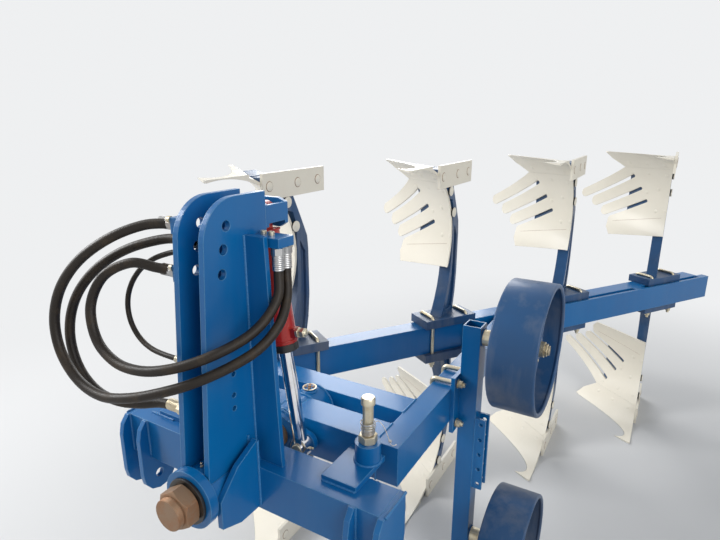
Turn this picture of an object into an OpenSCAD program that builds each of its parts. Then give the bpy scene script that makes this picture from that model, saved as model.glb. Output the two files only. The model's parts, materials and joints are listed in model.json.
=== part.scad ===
// Reversible four-furrow mouldboard plough with a turnover headstock.
// Millimetres. +Z up, travel along -Y, +X is the plough's left side.

/* [Node] */
// Sub-part to draw, or all

/* [Turnover shaft] */
// Sideways place of the turnover shaft
shaft_x = -295; // [-320:5:-270]
// Height of the turnover shaft over the ground
mid_z = 740; // [700:5:780]
// Radius of the turnover shaft
shaft_r = 40; // [35:1:50]
// Outer radius of the sleeves round the shaft
sleeve_r = 65; // [55:1:75]

/* [Frame tubes] */
// Height of the frame tubes
tube_h = 120; // [100:5:140]
// Wall of the frame tubes
tube_t = 9; // [6:1:12]
// Width of the main beam
beam_w = 80; // [60:5:100]
// Angle of the main beam from the line of travel
beam_angle = 33.43; // [30:0.01:37]
// Distance between plough bodies along the beam
pitch = 693; // [600:1:750]

/* [Plough bodies] */
// Thickness of a mouldboard
board_t = 9; // [6:0.5:12]
// Thickness of a share
share_t = 11; // [8:0.5:14]
// Radius of the working surface
work_r = 313; // [280:1:360]
// Heading of the working surface
work_turn = 59.4; // [50:0.1:70]
// Fall of the working surface towards the wing
work_tilt = 6.2; // [0:0.1:12]
// Width of the slots between the slats
slot_w = 17; // [8:1:24]

/* [Gauge wheels] */
// Radius of a gauge wheel
wheel_r = 206; // [180:2:240]
// Width of a gauge wheel
wheel_w = 140; // [100:5:180]
// Side of the square wheel post
post_w = 60; // [50:5:80]

/* [Headstock] */
// Half the length of the crossbeam
cross_half = 445; // [400:5:480]
// Thickness of the mast plates
mast_t = 16; // [12:1:20]
// Radius of a lower link pin hole
link_r = 14.5; // [11:0.5:18.5]
// Radius of a top link pin hole
top_r = 13; // [9.5:0.5:16]

/* [Turnover cylinder] */
// Outer radius of the barrel
barrel_r = 38; // [32:1:45]
// Radius of the piston rod
rod_r = 20; // [16:1:25]

/* [Hidden] */
$fn = 64;
eps = 0.01;
run_gap = 0.05;
seat = 0.3;

blue = [0.07, 0.25, 0.62];
dark_blue = [0.06, 0.12, 0.42];
cream = [0.86, 0.85, 0.78];
zinc = [0.75, 0.75, 0.72];
red = [0.62, 0.06, 0.05];
brown = [0.35, 0.27, 0.2];
black = [0.03, 0.03, 0.03];
steel = [0.6, 0.6, 0.6];

// Shift that puts the origin under the middle of the plough
home_x = 69;
home_y = 64;

// Frame rectangle, seen from above
near_x0 = 25;
near_x1 = 95;
far_x1 = -615;
far_x0 = -685;
front_y0 = -1048;
front_y1 = -946;
rear_y0 = -874;
rear_y1 = -784;
tube_z0 = mid_z - tube_h / 2;
tube_z1 = mid_z + tube_h / 2;

// Main beam, from the first station b1 along the beam angle
b1 = [-542, -679];
beam_s0 = -400;
beam_s1 = 2384;
stations = [0, 1, 2, 3];
plate_in = 66;
plate_out = 80;
plate_s1 = 2430;
spacer_s = [1200, 1884, 2400];
pad_l = 250;
pad_w = 124;
pad_t = 35;
ubolt_s = 85;
ubolt_w = 48;
ubolt_r = 7;
pad_z0 = tube_z0 - pad_t;

// Working surface, station-local, its face at mid height work_face from the station
work_face = 24;
work_p = work_face - work_r;
work_z = 300;
frog_depth = 34;
prism_x = -330;

// Headstock
cross_y0 = -1255;
cross_y1 = -1145;
cross_z0 = 629;
cross_z1 = 759;
cross_t = 10;
hub_y0 = -1400;
hub_y1 = -1140;
collar_y0 = -1425;
collar_r = 78;
mast_in = 33.5;
lug_y = -1232;
lug_z = 562;
lug_t = 16;
lug_step = 80;
top_holes = [[-1282, 1412], [-1296, 1358], [-1305.5, 1300]];
small_holes = [[-1291, 1039], [-1294.5, 982], [-1296, 946]];
stiff_y = -1211;
stiff_t = 14;
stiff_z1 = 1381;
stiff_top = 61;
stiff_low = 85.5;
stop_r = 325;
stop_x = shaft_x + stop_r;
stop_y = -1097;
stop_plate_t = 16;
stop_bolt_r = 15;
boss_z1 = 830;
// Half the stop lug's height, and the stop bolts' feet just over it
lug_half = 11.7;
tube_foot_z = mid_z + lug_half;

// Turnover cylinder
cyl_y = -1098;
cyl_z = 1412;
cyl_tilt = 8.88;
rod_pin = [-190, 740];
pin_r = 15;
crank_len = 105;

// Gauge wheels
post_x0 = 109;
post_y0 = -619;
post_z0 = 162;
post_z1 = 1011;
axle_y = -589;
drum_x0 = 240;
upper_z = 971;
clamp_y = [-640, -538];
clamp_rise = 12;
clamp_z = [tube_z0 - clamp_rise, tube_z1 + clamp_rise];
clamp_r = 8;
clamp_lap = 28;

// Moves the hitch-side datum to the middle of the footprint
module home() {
    translate([home_x, home_y, 0]) children();
}

module box(lo, hi) {
    translate(lo) cube([hi[0] - lo[0], hi[1] - lo[1], hi[2] - lo[2]]);
}

// Hollow box, open through along one axis
module hollow(lo, hi, wall, along) {
    cut = [along == 0 ? -1 : wall, along == 1 ? -1 : wall, along == 2 ? -1 : wall];
    difference() {
        box(lo, hi);
        box(lo + cut, hi - cut);
    }
}

// Cylinder along Y between two stations
module rod_y(x, z, r, y0, y1, sides = 64) {
    translate([x, y1, z]) rotate([90, 0, 0]) cylinder(r = r, h = y1 - y0, $fn = sides);
}

module rod_x(y, z, r, x0, x1, sides = 64) {
    translate([x0, y, z]) rotate([0, 90, 0]) cylinder(r = r, h = x1 - x0, $fn = sides);
}

module rod_z(x, y, r, z0, z1, sides = 64) {
    translate([x, y, z0]) cylinder(r = r, h = z1 - z0, $fn = sides);
}

// Plate standing in a Y-Z plane, outline given as [y, z]
module plate_yz(x0, x1, outline) {
    translate([x0, 0, 0]) rotate([90, 0, 90]) linear_extrude(height = x1 - x0) polygon(outline);
}

// Plate standing in an X-Z plane, outline given as [x, z]
module plate_xz(y0, y1, outline) {
    translate([0, y1, 0]) rotate([90, 0, 0]) linear_extrude(height = y1 - y0) polygon(outline);
}

// The same piece on both sides of the shaft's upright plane
module both_sides() {
    children();
    translate([shaft_x, 0, 0]) mirror([1, 0, 0]) translate([-shaft_x, 0, 0]) children();
}

// The upper set is the lower set mirrored about the shaft's height
module upper_set() {
    translate([0, 0, mid_z]) mirror([0, 0, 1]) translate([0, 0, -mid_z]) children();
}

// Beam-local space: +Y along the beam from the first station, +X to its side
module on_beam() {
    translate([b1[0], b1[1], 0]) rotate([0, 0, -beam_angle]) children();
}

module at_stations() {
    for (k = stations)
        translate([b1[0] + k * pitch * sin(beam_angle), b1[1] + k * pitch * cos(beam_angle), 0])
            children();
}

// Working cylinder of a body at a given radius
module work_cylinder(r) {
    rotate([0, 0, work_turn]) translate([work_p, 0, work_z])
        rotate([-(90 + work_tilt), 0, 0]) cylinder(r = r, h = 2400, center = true, $fn = 96);
}

// Headstock

module crossbeam() {
    color(blue) home() difference() {
        hollow([shaft_x - cross_half, cross_y0, cross_z0],
            [shaft_x + cross_half, cross_y1, cross_z1], cross_t, 0);
        rod_y(shaft_x, mid_z, sleeve_r, cross_y0 - 1, cross_y1 + 1);
    }
}

module hub_sleeve() {
    color(blue) home() difference() {
        union() {
            rod_y(shaft_x, mid_z, sleeve_r, hub_y0 - eps, hub_y1);
            rod_y(shaft_x, mid_z, collar_r, collar_y0, hub_y0);
        }
        rod_y(shaft_x, mid_z, shaft_r + run_gap, collar_y0 - 1, hub_y1 + 1);
    }
}

// Front edge leans back to a rounded top corner, given as [y, z]
mast_round = 106;
mast_corner = [-1250, 1372];
mast_y1 = cross_y1 + 4;
mast_outline = concat(
    [[-1405, 700]],
    [for (a = [180 : -7.5 : 90]) mast_corner + mast_round * [cos(a), sin(a)]],
    [[mast_y1, mast_corner[1] + mast_round], [mast_y1, cross_z1], [cross_y0 - seat, cross_z1],
        [cross_y0 - seat, 700]]);

module mast_plates() {
    color(blue) home() difference() {
        both_sides() difference() {
            plate_yz(shaft_x + mast_in, shaft_x + mast_in + mast_t, mast_outline);
            for (h = top_holes) rod_x(h[0], h[1], top_r, shaft_x, shaft_x + 80);
            for (h = small_holes) rod_x(h[0], h[1], 7, shaft_x, shaft_x + 80);
        }
        rod_y(shaft_x, mid_z, sleeve_r, hub_y0 - eps, hub_y1 + 20);
        rod_y(shaft_x, mid_z, collar_r + seat, collar_y0 - 9, hub_y0 + seat);
        box([shaft_x - 90, -1420, 600], [shaft_x + 90, -1100, mid_z]);
    }
}

module mast_stiffeners() {
    x0 = shaft_x + mast_in + mast_t;
    color(blue) home() difference() {
        both_sides() plate_xz(stiff_y - stiff_t, stiff_y,
            [[x0, cross_z1], [x0, stiff_z1], [x0 + stiff_top, stiff_z1], [x0 + stiff_low, cross_z1 + 21],
                [x0 + stiff_low + 2, cross_z1]]);
        rod_y(shaft_x, mid_z, sleeve_r + run_gap, -1300, -1200);
    }
}

module cheek_plates() {
    color(blue) home() both_sides() difference() {
        plate_yz(-230, -214, [[-1395, 665], [-1395, 742], [-1330, 806], [cross_y0, 842],
            [cross_y0, 640], [-1330, 640]]);
        rod_y(shaft_x, mid_z, sleeve_r, -1420, -1200);
    }
}

lug_outline = [[cross_y1, cross_z1], [cross_y1, 640], [-1160, 575], [-1180, 535], [-1200, 512],
    [-1235, 508], [-1265, 520], [-1284, 545], [-1290, 575], [-1290, 700], [-1282, 735],
    [-1262, cross_z1]];

module clevis_lugs() {
    outer_x = shaft_x + cross_half;
    inner_x = outer_x - lug_step;
    color(blue) home() both_sides() {
        difference() {
            plate_yz(outer_x, outer_x + lug_t, lug_outline);
            rod_x(lug_y, lug_z, link_r, outer_x - 1, outer_x + lug_t + 1);
        }
        difference() {
            plate_yz(inner_x, inner_x + lug_t, lug_outline);
            rod_x(lug_y, lug_z, link_r, inner_x - 1, inner_x + lug_t + 1);
            box([inner_x - 1, cross_y0, cross_z0], [outer_x, cross_y1 + 1, cross_z1 + 1]);
        }
    }
}

module stop_brackets() {
    plate_z1 = cross_z1 + stop_plate_t;
    color(blue) home() both_sides() difference() {
        union() {
            box([stop_x - 72, -1213, cross_z1], [stop_x + 32, stop_y + 37, plate_z1]);
            rod_z(stop_x, stop_y, 35, plate_z1 - eps, boss_z1);
        }
        rod_z(stop_x, stop_y, stop_bolt_r + run_gap, 700, 900);
    }
}

module stop_bolts() {
    color(zinc) home() both_sides() {
        rod_z(stop_x, stop_y, stop_bolt_r, tube_foot_z + seat, boss_z1 + 111);
        rod_z(stop_x, stop_y, 19, boss_z1 + 111 - eps, boss_z1 + 131);
        difference() {
            rod_z(stop_x, stop_y, 26, boss_z1, boss_z1 + 22, 6);
            rod_z(stop_x, stop_y, stop_bolt_r + run_gap, 800, 900);
        }
    }
}

// Two cross plates hung on ears at the rear of the mast carry the cylinder's pin
module cylinder_bracket() {
    ear_y0 = mast_y1;
    plate = [[-345, 1384], [-345, 1440], [-320, 1450], [-270, 1450], [-246, 1440], [-246, 1384],
        [-265, 1372], [-325, 1372]];
    color(blue) home() difference() {
        union() {
            plate_xz(ear_y0, ear_y0 + 12, plate);
            plate_xz(-1063, -1051, plate);
            both_sides() box([-258, ear_y0 + 12 - eps, 1392], [-246, -1063 + eps, 1440]);
        }
        rod_y(shaft_x, cyl_z, pin_r + run_gap, -1160, -1040);
    }
}

module cylinder_pin() {
    color(zinc) home() {
        rod_y(shaft_x, cyl_z, pin_r, -1140.5, -1045);
        rod_y(shaft_x, cyl_z, 21, -1050.7, -1045);
    }
}

// Turnover cylinder

module along_cylinder() {
    translate([shaft_x, cyl_y, cyl_z]) rotate([0, -cyl_tilt, 0]) rotate([180, 0, 0]) children();
}

barrel_z0 = 46;
barrel_z1 = 385;
rod_len = norm([rod_pin[0] - shaft_x, rod_pin[1] - cyl_z]);
rod_z0 = 328;

module barrel() {
    color(red) home() difference() {
        union() {
            along_cylinder() {
                translate([0, 0, barrel_z0]) cylinder(r = barrel_r, h = barrel_z1 - barrel_z0 - 24);
                translate([-14, -17, 5]) cube([28, 34, barrel_z0 + 3]);
                for (z = [72, 318]) translate([barrel_r - 5, -12, z]) cube([20, 24, 26]);
            }
            rod_y(shaft_x, cyl_z, 32, cyl_y - 20, cyl_y + 20);
        }
        along_cylinder() translate([0, 0, barrel_z0 + 14])
            cylinder(r = barrel_r - 7, h = barrel_z1);
        rod_y(shaft_x, cyl_z, pin_r + run_gap, -1160, -1040);
    }
}

module gland() {
    color(black) home() along_cylinder() translate([0, 0, barrel_z1 - 24]) difference() {
        cylinder(r = barrel_r + 2, h = 24);
        translate([0, 0, -1]) cylinder(r = rod_r + run_gap, h = 26);
    }
}

module piston_rod() {
    color(steel) home() difference() {
        union() {
            along_cylinder() {
                translate([0, 0, rod_z0]) cylinder(r = rod_r, h = rod_len - rod_z0 - 15);
                translate([0, 0, rod_z0]) cylinder(r = barrel_r - 8, h = 30);
            }
            rod_y(rod_pin[0], rod_pin[1], 30, cyl_y - 15, cyl_y + 15);
            rod_y(rod_pin[0], rod_pin[1], 14, cyl_y - 24, cyl_y + 17.6);
        }
    }
}

// Turning frame

module shaft() {
    color(steel) home() rod_y(shaft_x, mid_z, shaft_r, -1490, -878);
}

module shaft_nut() {
    color(brown) home() difference() {
        union() {
            rod_y(shaft_x, mid_z, 55, -1473, -1433, 6);
            rod_y(shaft_x, mid_z, 62, -1433 - eps, collar_y0 - seat);
        }
        rod_y(shaft_x, mid_z, shaft_r, -1500, -1400);
    }
}

module thrust_washer() {
    color(zinc) home() difference() {
        rod_y(shaft_x, mid_z, 60, hub_y1 + seat, -1124);
        rod_y(shaft_x, mid_z, shaft_r + run_gap, -1200, -1100);
    }
}

module front_tube() {
    color(blue) home() difference() {
        hollow([far_x1, front_y0, tube_z0], [near_x0, front_y1, tube_z1], tube_t, 0);
        rod_y(shaft_x, mid_z, sleeve_r, front_y0 - 1, front_y1 + 1);
    }
}

module rear_tube() {
    color(blue) home() hollow([far_x1, rear_y0, tube_z0], [near_x0, rear_y1, tube_z1], tube_t, 0);
}

// Open at the rear, where the main beam closes it
module near_tube() {
    color(blue) home() difference() {
        box([near_x0, front_y0, tube_z0], [near_x1, 400, tube_z1]);
        box([near_x0 + tube_t, front_y0 + tube_t, tube_z0 + tube_t],
            [near_x1 - tube_t, 500, tube_z1 - tube_t]);
        on_beam() translate([beam_w / 2 - 600, 0, 0]) box([0, -900, 0], [600, 3000, 1500]);
    }
}

module far_tube() {
    color(blue) home() difference() {
        box([far_x0, front_y0, tube_z0], [far_x1, rear_y1, tube_z1]);
        box([far_x0 + tube_t, front_y0 + tube_t, tube_z0 + tube_t],
            [far_x1 - tube_t, rear_y1 - tube_t, tube_z1 - tube_t]);
    }
}

// Sleeve, clamped on the shaft, with the bolted locking boss on its top
module frame_sleeve() {
    color(blue) home() difference() {
        union() {
            rod_y(shaft_x, mid_z, sleeve_r, -1080, rear_y0 - eps);
            rod_z(shaft_x, -910, 22, mid_z + 50, tube_z1 + 14);
        }
        rod_y(shaft_x, mid_z, shaft_r, -1090, -878);
    }
}

// Capped at the rear, mitred on the rear tube at the front
module main_beam() {
    color(dark_blue) home() difference() {
        on_beam() difference() {
            box([-beam_w / 2, beam_s0, tube_z0], [beam_w / 2, beam_s1, tube_z1]);
            box([-beam_w / 2 + tube_t, beam_s0 - 1, tube_z0 + tube_t],
                [beam_w / 2 - tube_t, beam_s1 - tube_t, tube_z1 - tube_t]);
        }
        box([-2000, -3000, 0], [1000, rear_y1, 1500]);
    }
}

module stiffener_plate() {
    color(blue) home() difference() {
        on_beam() box([plate_in, 700, tube_z0], [plate_out, plate_s1, tube_z1]);
        box([-1000, -1500, 0], [near_x1, 1500, 1500]);
    }
}

module beam_spacers() {
    color(blue) home() on_beam() for (s = spacer_s)
        box([beam_w / 2, s - 32, tube_z0], [plate_in, s + 32, tube_z1]);
}

module stop_lug() {
    color(blue) home() box([shaft_x - stop_r - 35, -1125, mid_z - lug_half],
        [shaft_x - stop_r + 35, front_y0, mid_z + lug_half]);
}

module crank_ear() {
    x1 = shaft_x + crank_len;
    color(blue) home() difference() {
        union() {
            plate_xz(-1078, -1060, [[shaft_x, mid_z - 64], [x1, mid_z - 30], [x1, mid_z + 30],
                [shaft_x, mid_z + 64]]);
            rod_y(x1, mid_z, 30, -1078, -1060);
        }
        rod_y(shaft_x, mid_z, sleeve_r + run_gap, -1200, -1000);
    }
}

module pad_pair() {
    for (z0 = [tube_z1, pad_z0]) difference() {
        box([-pad_w / 2, -pad_l / 2, z0], [pad_w / 2, pad_l / 2, z0 + pad_t]);
        for (s = [-ubolt_s, ubolt_s], w = [-ubolt_w, ubolt_w])
            rod_z(w, s, ubolt_r + run_gap, z0 - 1, z0 + pad_t + 1);
    }
}

module foot_pads() {
    color(dark_blue) home() for (k = stations) on_beam() translate([0, k * pitch, 0]) pad_pair();
}

module ubolt() {
    top = tube_z1 + pad_t + ubolt_r;
    low = pad_z0 - 26;
    for (w = [-ubolt_w, ubolt_w]) {
        rod_z(w, 0, ubolt_r, low, top);
        translate([w, 0, top]) sphere(r = ubolt_r, $fn = 32);
        difference() {
            rod_z(w, 0, 13, pad_z0 - 16, pad_z0, 6);
            rod_z(w, 0, ubolt_r - 1, low, top);
        }
    }
    rod_x(0, top, ubolt_r, -ubolt_w, ubolt_w);
}

module foot_ubolts() {
    color(zinc) home() for (k = stations, s = [-ubolt_s, ubolt_s])
        on_beam() translate([0, k * pitch + s, 0]) ubolt();
}

// Plough bodies, lower set, station-local

leg_x0 = -40;
leg_x1 = 10;
leg_outline = [[-62, pad_z0], [-40, 620], [-16, 580], [8, 530], [24, 480], [34, 430], [38, 380],
    [38, 200], [20, 150], [-150, 100], [-150, 14], [-4, 14], [6, 59], [68, 182], [100, 250],
    [105, 300], [105, 480], [95, 570], [77, pad_z0]];
leg_pocket = [[-10, 628], [14, 590], [32, 535], [46, 480], [54, 420], [56, 260], [87, 310],
    [87, 480], [78, 565], [64, 628]];

module leg() {
    difference() {
        plate_yz(leg_x0, leg_x1, leg_outline);
        work_cylinder(work_r + share_t + seat);
        plate_yz(leg_x1 - 14, leg_x1 + 1, leg_pocket);
        plate_yz(leg_x0 - 1, leg_x0 + 14, leg_pocket);
    }
}

// Frog: curved seat behind the boards, on the leg's wing side
module frog() {
    difference() {
        intersection() {
            work_cylinder(work_r + share_t + frog_depth);
            plate_yz(-190, leg_x0, [[-260, 12], [-260, 60], [0, 330], [220, 330], [220, 12]]);
            box([-190, -260, 12], [leg_x0, 220, 330]);
        }
        work_cylinder(work_r + share_t + seat);
    }
}

module landside() {
    box([leg_x1, -150, 0], [leg_x1 + 12, 200, 90]);
}

// Shell between two radii of the working surface, kept to the board's height and side
module shell(t) {
    difference() {
        intersection() {
            work_cylinder(work_r + t);
            box([-700, -500, 0], [leg_x1, 500, 600]);
        }
        work_cylinder(work_r);
    }
}

// Prism through the shell, outline given as [along the axis, height]
module prism(outline) {
    rotate([0, 0, work_turn]) translate([prism_x, 0, 0]) rotate([90, 0, 90])
        linear_extrude(height = 500) polygon(outline);
}

slat_angle = 27;
joint_line = [[-70, 74], [235, 82]];
board_outline = [[-90, 74.4], [-2, 76], [235, 82.4], [262, 98], [250, 200], [205, 262],
    [284, 300], [331, 383], [322, 430], [284, 467], [-2, 434], [-60, 434], [-90, 380]];
// Slats as [start along, tip along, lower side, upper side] in the slanted space
slats = [[250, 608, -33, 19], [215, 554, 33, 94.5], [215, 508, 108.5, 168.3]];
slots = [26, 101.5, 175.3];
slot_start = 232;

module slanted() {
    rotate([0, 0, work_turn]) translate([prism_x, 0, 0]) rotate([90, 0, 90])
        rotate([0, 0, slat_angle]) children();
}

module mouldboard() {
    difference() {
        intersection() {
            shell(board_t);
            union() {
                prism(board_outline);
                slanted() for (s = slats) {
                    r = (s[3] - s[2]) / 2;
                    translate([s[0], s[2], 0]) cube([s[1] - s[0] - r, 2 * r, 500]);
                    translate([s[1] - r, s[2] + r, 0]) cylinder(r = r, h = 500);
                }
            }
        }
        slanted() for (n = slots) {
            translate([slot_start, n - slot_w / 2, -1]) cube([600, slot_w, 502]);
            translate([slot_start, n, -1]) cylinder(r = slot_w / 2, h = 502);
        }
        rotate([0, 0, work_turn]) box([-900, 600, -10], [900, 900, 900]);
    }
}

share_plan = [[14, -383], [0, -383], [-80, -347], [-95, -262], [-326, 60], [-221, 140], [14, 140]];

module share() {
    difference() {
        intersection() {
            union() {
                shell(share_t);
                intersection() {
                    box([-140, -400, 0], [leg_x1, -200, 22]);
                    difference() {
                        rotate([0, 0, work_turn]) rotate([90, 0, 90])
                            translate([0, 0, -400]) linear_extrude(height = 400)
                            polygon([[-400, 0], [-400, 22], [100, 22], [100, 0]]);
                        rotate([0, 0, 66]) rotate([0, -14, 0]) box([-900, -900, 0], [-372, 900, 400]);
                    }
                }
            }
            linear_extrude(height = 300) polygon(share_plan);
            prism([[-420, -20], [-420, 66], [-70, 74], [235, 82], [330, 12], [330, -20]]);
        }
        work_cylinder(work_r);
    }
}

module legs_lower() {
    color(dark_blue) home() at_stations() leg();
}

module legs_upper() {
    color(dark_blue) home() upper_set() at_stations() leg();
}

module frogs_lower() {
    color(dark_blue) home() at_stations() frog();
}

module frogs_upper() {
    color(dark_blue) home() upper_set() at_stations() frog();
}

module landsides_lower() {
    color(cream) home() at_stations() landside();
}

module landsides_upper() {
    color(cream) home() upper_set() at_stations() landside();
}

module shares_lower() {
    color(cream) home() at_stations() share();
}

module shares_upper() {
    color(cream) home() upper_set() at_stations() share();
}

module mouldboards_lower() {
    color(cream) home() at_stations() mouldboard();
}

module mouldboards_upper() {
    color(cream) home() upper_set() at_stations() mouldboard();
}

// Gauge wheels

module wheel_clamp() {
    color(blue) home() difference() {
        box([near_x1, clamp_y[0] - 25, clamp_z[0] - clamp_lap],
            [post_x0, clamp_y[1] + 25, clamp_z[1] + clamp_lap]);
        for (y = clamp_y, z = clamp_z)
            rod_x(y, z, clamp_r + run_gap, near_x1 - 1, post_x0 + 1);
    }
}

module wheel_ubolts() {
    color(zinc) home() for (y = clamp_y) {
        rod_z(near_x0 - clamp_r - seat, y, clamp_r, clamp_z[0], clamp_z[1]);
        for (z = clamp_z) {
            rod_x(y, z, clamp_r, near_x0 - clamp_r - seat, post_x0 + 24);
            translate([near_x0 - clamp_r - seat, y, z]) sphere(r = clamp_r, $fn = 32);
            translate([post_x0, y, z]) rotate([0, 90, 0]) difference() {
                cylinder(r = 14, h = 14, $fn = 6);
                translate([0, 0, -1]) cylinder(r = clamp_r - 1, h = 16);
            }
        }
    }
}

module wheel_post() {
    color(blue) home() hollow([post_x0, post_y0, post_z0],
        [post_x0 + post_w, post_y0 + post_w, post_z1], 5, 2);
}

module hole_bars() {
    x0 = post_x0 + post_w;
    color(blue) home() for (y = [-614, -572]) difference() {
        box([x0, y - 4, 422], [x0 + 35, y + 4, 690]);
        for (z = [442 : 57 : 680]) rod_y(x0 + 20, z, 7, y - 10, y + 10);
    }
}

module wheel_axles() {
    color(zinc) home() for (z = [wheel_r, upper_z]) {
        rod_x(axle_y, z, 15, post_x0 + post_w, drum_x0 + wheel_w - 20);
        rod_x(axle_y, z, 26, post_x0 + post_w, drum_x0 + 12 - seat);
        rod_x(axle_y, z, 24, drum_x0 + wheel_w - 32 + seat, drum_x0 + wheel_w - 18);
    }
}

module wheel(z) {
    x1 = drum_x0 + wheel_w;
    difference() {
        union() {
            difference() {
                rod_x(axle_y, z, wheel_r, drum_x0, x1);
                rod_x(axle_y, z, wheel_r - 8, drum_x0 - 1, x1 + 1);
            }
            rod_x(axle_y, z, wheel_r - 7, x1 - 61, x1 - 55);
            rod_x(axle_y, z, 34, drum_x0 + 12, x1 - 32);
        }
        rod_x(axle_y, z, 15 + run_gap, drum_x0 - 1, x1 + 1);
    }
}

module upper_wheel() {
    color(blue) home() wheel(upper_z);
}

module lower_wheel() {
    color(blue) home() wheel(wheel_r);
}

// Hoses

hose_r = 12.5;
hose_sides = 12;
left_route = [[-170, -1162, 1329.5], [-168, -1164, 1280], [-152, -1186, 1226], [-140, -1232, 1175],
    [-152, -1290, 1132], [-188, -1350, 1100], [-245, -1410, 1070], [-318, -1450, 1042],
    [-408, -1475, 1014], [-502, -1484, 998], [-590, -1484, 1018], [-655, -1480, 1078],
    [-672, -1474, 1160], [-645, -1462, 1245], [-585, -1440, 1320], [-515, -1400, 1375],
    [-450, -1350, 1405], [-389.2, -1318, 1410]];
right_route = [[-170, -1192, 1329.5], [-168, -1195, 1285], [-158, -1213, 1235],
    [-162, -1256, 1190], [-180, -1312, 1156], [-228, -1384, 1125], [-300, -1430, 1098],
    [-385, -1450, 1080], [-475, -1452, 1082], [-550, -1445, 1122], [-580, -1430, 1200],
    [-552, -1404, 1275], [-490, -1368, 1310], [-430, -1340, 1300], [-389.5, -1325, 1294]];
// Ferrules at the far port blocks as [y, z]
far_ports = [[-1318, 1410], [-1325, 1294]];
near_ports = [-1162, -1192];

function spline(a, b, c, d, t) = 0.5 * ((2 * b) + (c - a) * t + (2 * a - 5 * b + 4 * c - d) * t * t
    + (3 * b - a - 3 * c + d) * t * t * t);
function route(p, steps) = let (n = len(p) - 1) [for (i = [0 : n - 1], j = [0 : steps - 1])
    spline(p[max(i - 1, 0)], p[i], p[i + 1], p[min(i + 2, n)], j / steps)];
function unit(v) = v / norm(v);
function ends(p, steps) = concat(route(p, steps), [p[len(p) - 1]]);
function tangent(q, i) = i == 0 ? [0, 0, -1] : i == len(q) - 1 ? [1, 0, 0]
    : unit(q[i + 1] - q[i - 1]);
function side_start(t) = unit(cross(t, [0, 1, 0]));
function frames(q) = [for (i = 0, s = side_start(tangent(q, 0)); i < len(q);
    i = i + 1, s = i < len(q) ? let (t = tangent(q, i)) unit(s - (s * t) * t) : s) s];

module tube(points, r, steps) {
    q = ends(points, steps);
    f = frames(q);
    n = hose_sides;
    m = len(q);
    rings = [for (i = [0 : m - 1]) let (t = tangent(q, i), u = f[i], v = cross(t, f[i]))
        for (k = [0 : n - 1]) q[i] + r * (cos(k * 360 / n) * u + sin(k * 360 / n) * v)];
    walls = [for (i = [0 : m - 2], k = [0 : n - 1])
        [i * n + k, i * n + (k + 1) % n, (i + 1) * n + (k + 1) % n, (i + 1) * n + k]];
    first = [for (k = [n - 1 : -1 : 0]) k];
    last = [for (k = [0 : n - 1]) (m - 1) * n + k];
    polyhedron(points = rings, faces = concat([first], [last], walls));
}

module hose_left() {
    color(black) home() tube(left_route, hose_r, 4);
}

module hose_right() {
    color(black) home() tube(right_route, hose_r, 4);
}

// Port blocks on the mast that the hoses leave from and come back to
module port_block() {
    side = mast_in + mast_t;
    color(zinc) home() {
        box([shaft_x + side, -1207, 1352], [-154, -1148, 1376]);
        for (p = far_ports)
            box([shaft_x - side - 24, p[0] - 20, p[1] - 20], [shaft_x - side, p[0] + 16, p[1] + 20]);
    }
}

module hose_couplers() {
    far = shaft_x - mast_in - mast_t - 24;
    color(steel) home() {
        for (y = near_ports) rod_z(-170, y, 14, 1330, 1352, 6);
        for (p = far_ports) rod_x(p[0], p[1], 14, far - 20, far, 6);
    }
}

crossbeam();
hub_sleeve();
mast_plates();
mast_stiffeners();
cheek_plates();
clevis_lugs();
stop_brackets();
stop_bolts();
cylinder_bracket();
cylinder_pin();
port_block();
hose_left();
hose_right();
hose_couplers();
shaft();
shaft_nut();
thrust_washer();
front_tube();
rear_tube();
near_tube();
far_tube();
frame_sleeve();
main_beam();
stiffener_plate();
beam_spacers();
stop_lug();
crank_ear();
foot_pads();
foot_ubolts();
legs_upper();
legs_lower();
frogs_upper();
frogs_lower();
landsides_upper();
landsides_lower();
shares_upper();
shares_lower();
mouldboards_upper();
mouldboards_lower();
wheel_clamp();
wheel_ubolts();
wheel_post();
hole_bars();
wheel_axles();
upper_wheel();
lower_wheel();
barrel();
gland();
piston_rod();
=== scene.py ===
import bmesh
import bpy
import json
import math
import numpy as np
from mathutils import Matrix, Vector


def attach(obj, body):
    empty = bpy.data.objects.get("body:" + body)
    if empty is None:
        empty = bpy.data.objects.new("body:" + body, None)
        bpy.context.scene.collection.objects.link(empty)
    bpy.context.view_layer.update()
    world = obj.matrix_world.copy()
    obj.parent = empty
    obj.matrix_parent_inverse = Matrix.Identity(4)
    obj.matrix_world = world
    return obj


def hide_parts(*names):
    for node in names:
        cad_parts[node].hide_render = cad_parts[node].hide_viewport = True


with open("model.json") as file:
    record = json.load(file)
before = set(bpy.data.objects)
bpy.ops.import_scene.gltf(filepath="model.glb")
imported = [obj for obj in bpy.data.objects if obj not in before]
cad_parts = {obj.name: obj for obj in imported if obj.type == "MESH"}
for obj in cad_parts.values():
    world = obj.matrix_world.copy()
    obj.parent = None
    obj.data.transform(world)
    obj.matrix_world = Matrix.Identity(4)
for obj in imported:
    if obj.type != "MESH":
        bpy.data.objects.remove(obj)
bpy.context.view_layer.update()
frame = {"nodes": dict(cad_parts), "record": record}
nodes = frame["nodes"]

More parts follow.
